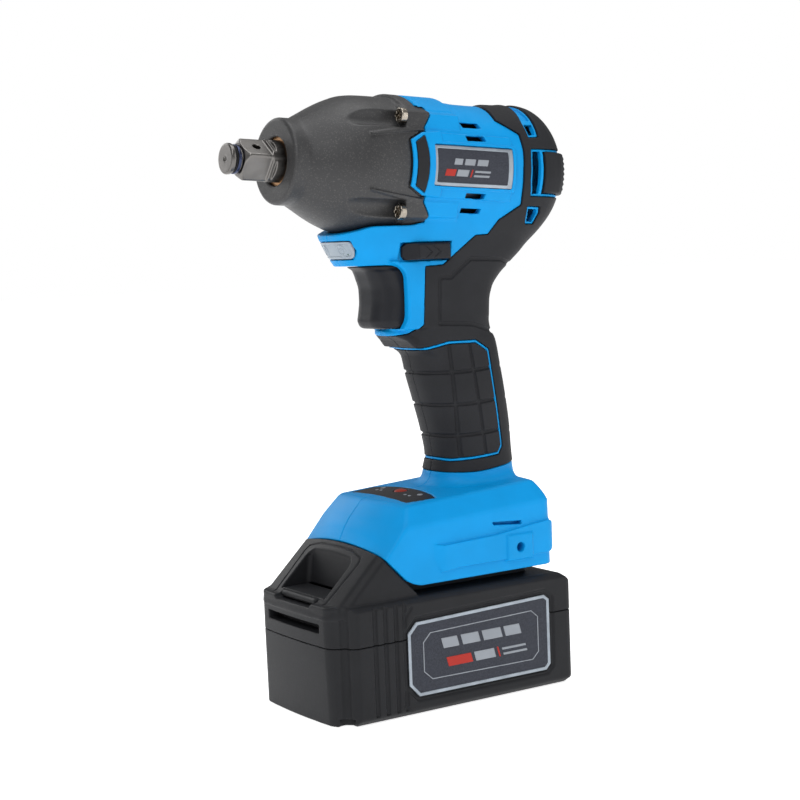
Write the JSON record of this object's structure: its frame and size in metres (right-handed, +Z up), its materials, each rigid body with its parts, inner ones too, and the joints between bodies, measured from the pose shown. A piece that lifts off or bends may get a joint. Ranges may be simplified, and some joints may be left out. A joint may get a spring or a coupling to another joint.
{
  "type": "impact wrench",
  "caption": "Cordless pistol-grip impact wrench: square drive, tapered alloy hammer case, moulded clamshell body with soft grip, slide-on battery.",
  "frame": {"origin": "middle of the battery's flat bottom face", "axes": "+X towards the nose, +Y the tool's left side, +Z up"},
  "size_m": [0.1625, 0.0702, 0.2548],
  "materials": {
    "blue_plastic": "fine moulded texture, satin",
    "soft_black": "matt soft overmould",
    "trigger_black": "fine grained matt",
    "black_plastic": "satin black",
    "battery_black": "fine spark texture, satin",
    "case_alloy": "grey painted casting with a slight sparkle",
    "drive_steel": "machined and oiled",
    "dark_steel": "blackened steel",
    "spring_steel": "polished steel",
    "screw_steel": "plated steel",
    "lamination_steel": "stacked laminations",
    "bronze": "sintered bronze",
    "seal_rubber": "smooth black rubber",
    "label_plate": "satin grey plate with a pale rim",
    "clear_plastic": "clear moulded lens",
    "red_insulator": "moulded insulator",
    "red_button": "translucent red button",
    "board_green": "coated circuit board",
    "cell_wrap": "shrink wrap"
  },
  "bodies": {
    "root": {"hammer_case": "case_alloy", "nose_bushing": "bronze", "case_screw_1": "screw_steel", "case_screw_2": "screw_steel", "case_screw_3": "screw_steel", "case_screw_4": "screw_steel", "ring_gear": "dark_steel", "gearbox_plate": "dark_steel", "stator_core": "lamination_steel", "stator_insulator": "red_insulator", "front_bearing": "spring_steel", "rear_bearing": "spring_steel", "left_nameplate": "label_plate", "right_nameplate": "label_plate", "rear_bumper": "soft_black", "left_housing": "blue_plastic", "right_housing": "blue_plastic", "left_overmould": "soft_black", "right_overmould": "soft_black", "left_grip_panel": "soft_black", "right_grip_panel": "soft_black", "trigger_switch": "black_plastic", "lamp_lens": "clear_plastic", "lamp_board": "board_green", "control_panel": "black_plastic", "controller_board": "board_green", "terminal_block": "black_plastic"},
    "drive": {"anvil": "drive_steel", "socket_retainer_ring": "dark_steel", "retainer_o_ring": "seal_rubber"},
    "spindle": {"cam_spindle": "drive_steel", "cam_ball_1": "spring_steel", "cam_ball_2": "spring_steel", "planet_pin_1": "dark_steel", "planet_pin_2": "dark_steel", "planet_pin_3": "dark_steel"},
    "hammer": {"hammer": "dark_steel", "hammer_spring": "spring_steel"},
    "planet_1": {"planet_gear_1": "drive_steel"},
    "planet_2": {"planet_gear_2": "drive_steel"},
    "planet_3": {"planet_gear_3": "drive_steel"},
    "rotor": {"motor_shaft": "drive_steel", "rotor_core": "lamination_steel", "cooling_fan": "black_plastic"},
    "trigger": {"trigger": "trigger_black"},
    "lever": {"direction_lever": "black_plastic"},
    "mode_button": {"mode_button": "red_button"},
    "battery": {"battery_lower_case": "battery_black", "battery_upper_case": "battery_black", "battery_label_left": "label_plate", "battery_label_right": "label_plate", "battery_board": "board_green", "cell_pair_1": "cell_wrap", "cell_pair_2": "cell_wrap", "cell_pair_3": "cell_wrap", "cell_pair_4": "cell_wrap", "cell_pair_5": "cell_wrap", "release_spring": "spring_steel"},
    "release_button": {"release_button": "battery_black"}
  },
  "joints": [
    {"name": "spindle_spin", "type": "hinge", "parent": "root", "child": "spindle", "pos_m": [0.00386, 0, 0.22467], "axis": [0.9984, 0, 0.0572], "continuous": true},
    {"name": "drive_spin", "type": "hinge", "parent": "root", "child": "drive", "pos_m": [0.06376, 0, 0.2281], "axis": [0.9984, 0, 0.0572], "continuous": true},
    {"name": "rotor_spin", "type": "hinge", "parent": "root", "child": "rotor", "pos_m": [-0.02609, 0, 0.22295], "axis": [0.9984, 0, 0.0572], "continuous": true},
    {"name": "planet_1_spin", "type": "hinge", "parent": "spindle", "child": "planet_1", "pos_m": [-0.00381, 0, 0.23625], "axis": [0.9984, 0, 0.0572], "continuous": true},
    {"name": "planet_2_spin", "type": "hinge", "parent": "spindle", "child": "planet_2", "pos_m": [-0.00279, -0.01039, 0.21828], "axis": [0.9984, 0, 0.0572], "continuous": true},
    {"name": "planet_3_spin", "type": "hinge", "parent": "spindle", "child": "planet_3", "pos_m": [-0.00279, 0.01039, 0.21828], "axis": [0.9984, 0, 0.0572], "continuous": true},
    {"name": "hammer_slide", "type": "slide", "parent": "spindle", "child": "hammer", "axis": [-0.9984, 0, -0.0572], "range_m": [0, 0.008], "stiffness_N_per_m": 20000, "deforming": ["hammer_spring"]},
    {"name": "trigger_slide", "type": "slide", "parent": "root", "child": "trigger", "axis": [-1, 0, 0], "range_m": [0, 0.007], "stiffness_N_per_m": 600},
    {"name": "lever_slide", "type": "slide", "parent": "root", "child": "lever", "axis": [0, 1, 0], "range_m": [-0.003, 0.003]},
    {"name": "mode_press", "type": "slide", "parent": "root", "child": "mode_button", "axis": [0, 0, -1], "range_m": [0, 0.0006], "stiffness_N_per_m": 300},
    {"name": "battery_slide", "type": "slide", "parent": "root", "child": "battery", "axis": [1, 0, 0], "range_m": [0, 0.09]},
    {"name": "release_slide", "type": "slide", "parent": "battery", "child": "release_button", "axis": [0.7229, 0, -0.6909], "range_m": [0, 0.0035], "stiffness_N_per_m": 500, "deforming": ["release_spring"]}
  ],
  "couplings": [
    {"joint": "drive_spin", "follows": "spindle_spin", "ratio": 1},
    {"joint": "rotor_spin", "follows": "spindle_spin", "ratio": 6},
    {"joint": "planet_1_spin", "follows": "spindle_spin", "ratio": -2.5},
    {"joint": "planet_2_spin", "follows": "spindle_spin", "ratio": -2.5},
    {"joint": "planet_3_spin", "follows": "spindle_spin", "ratio": -2.5}
  ]
}
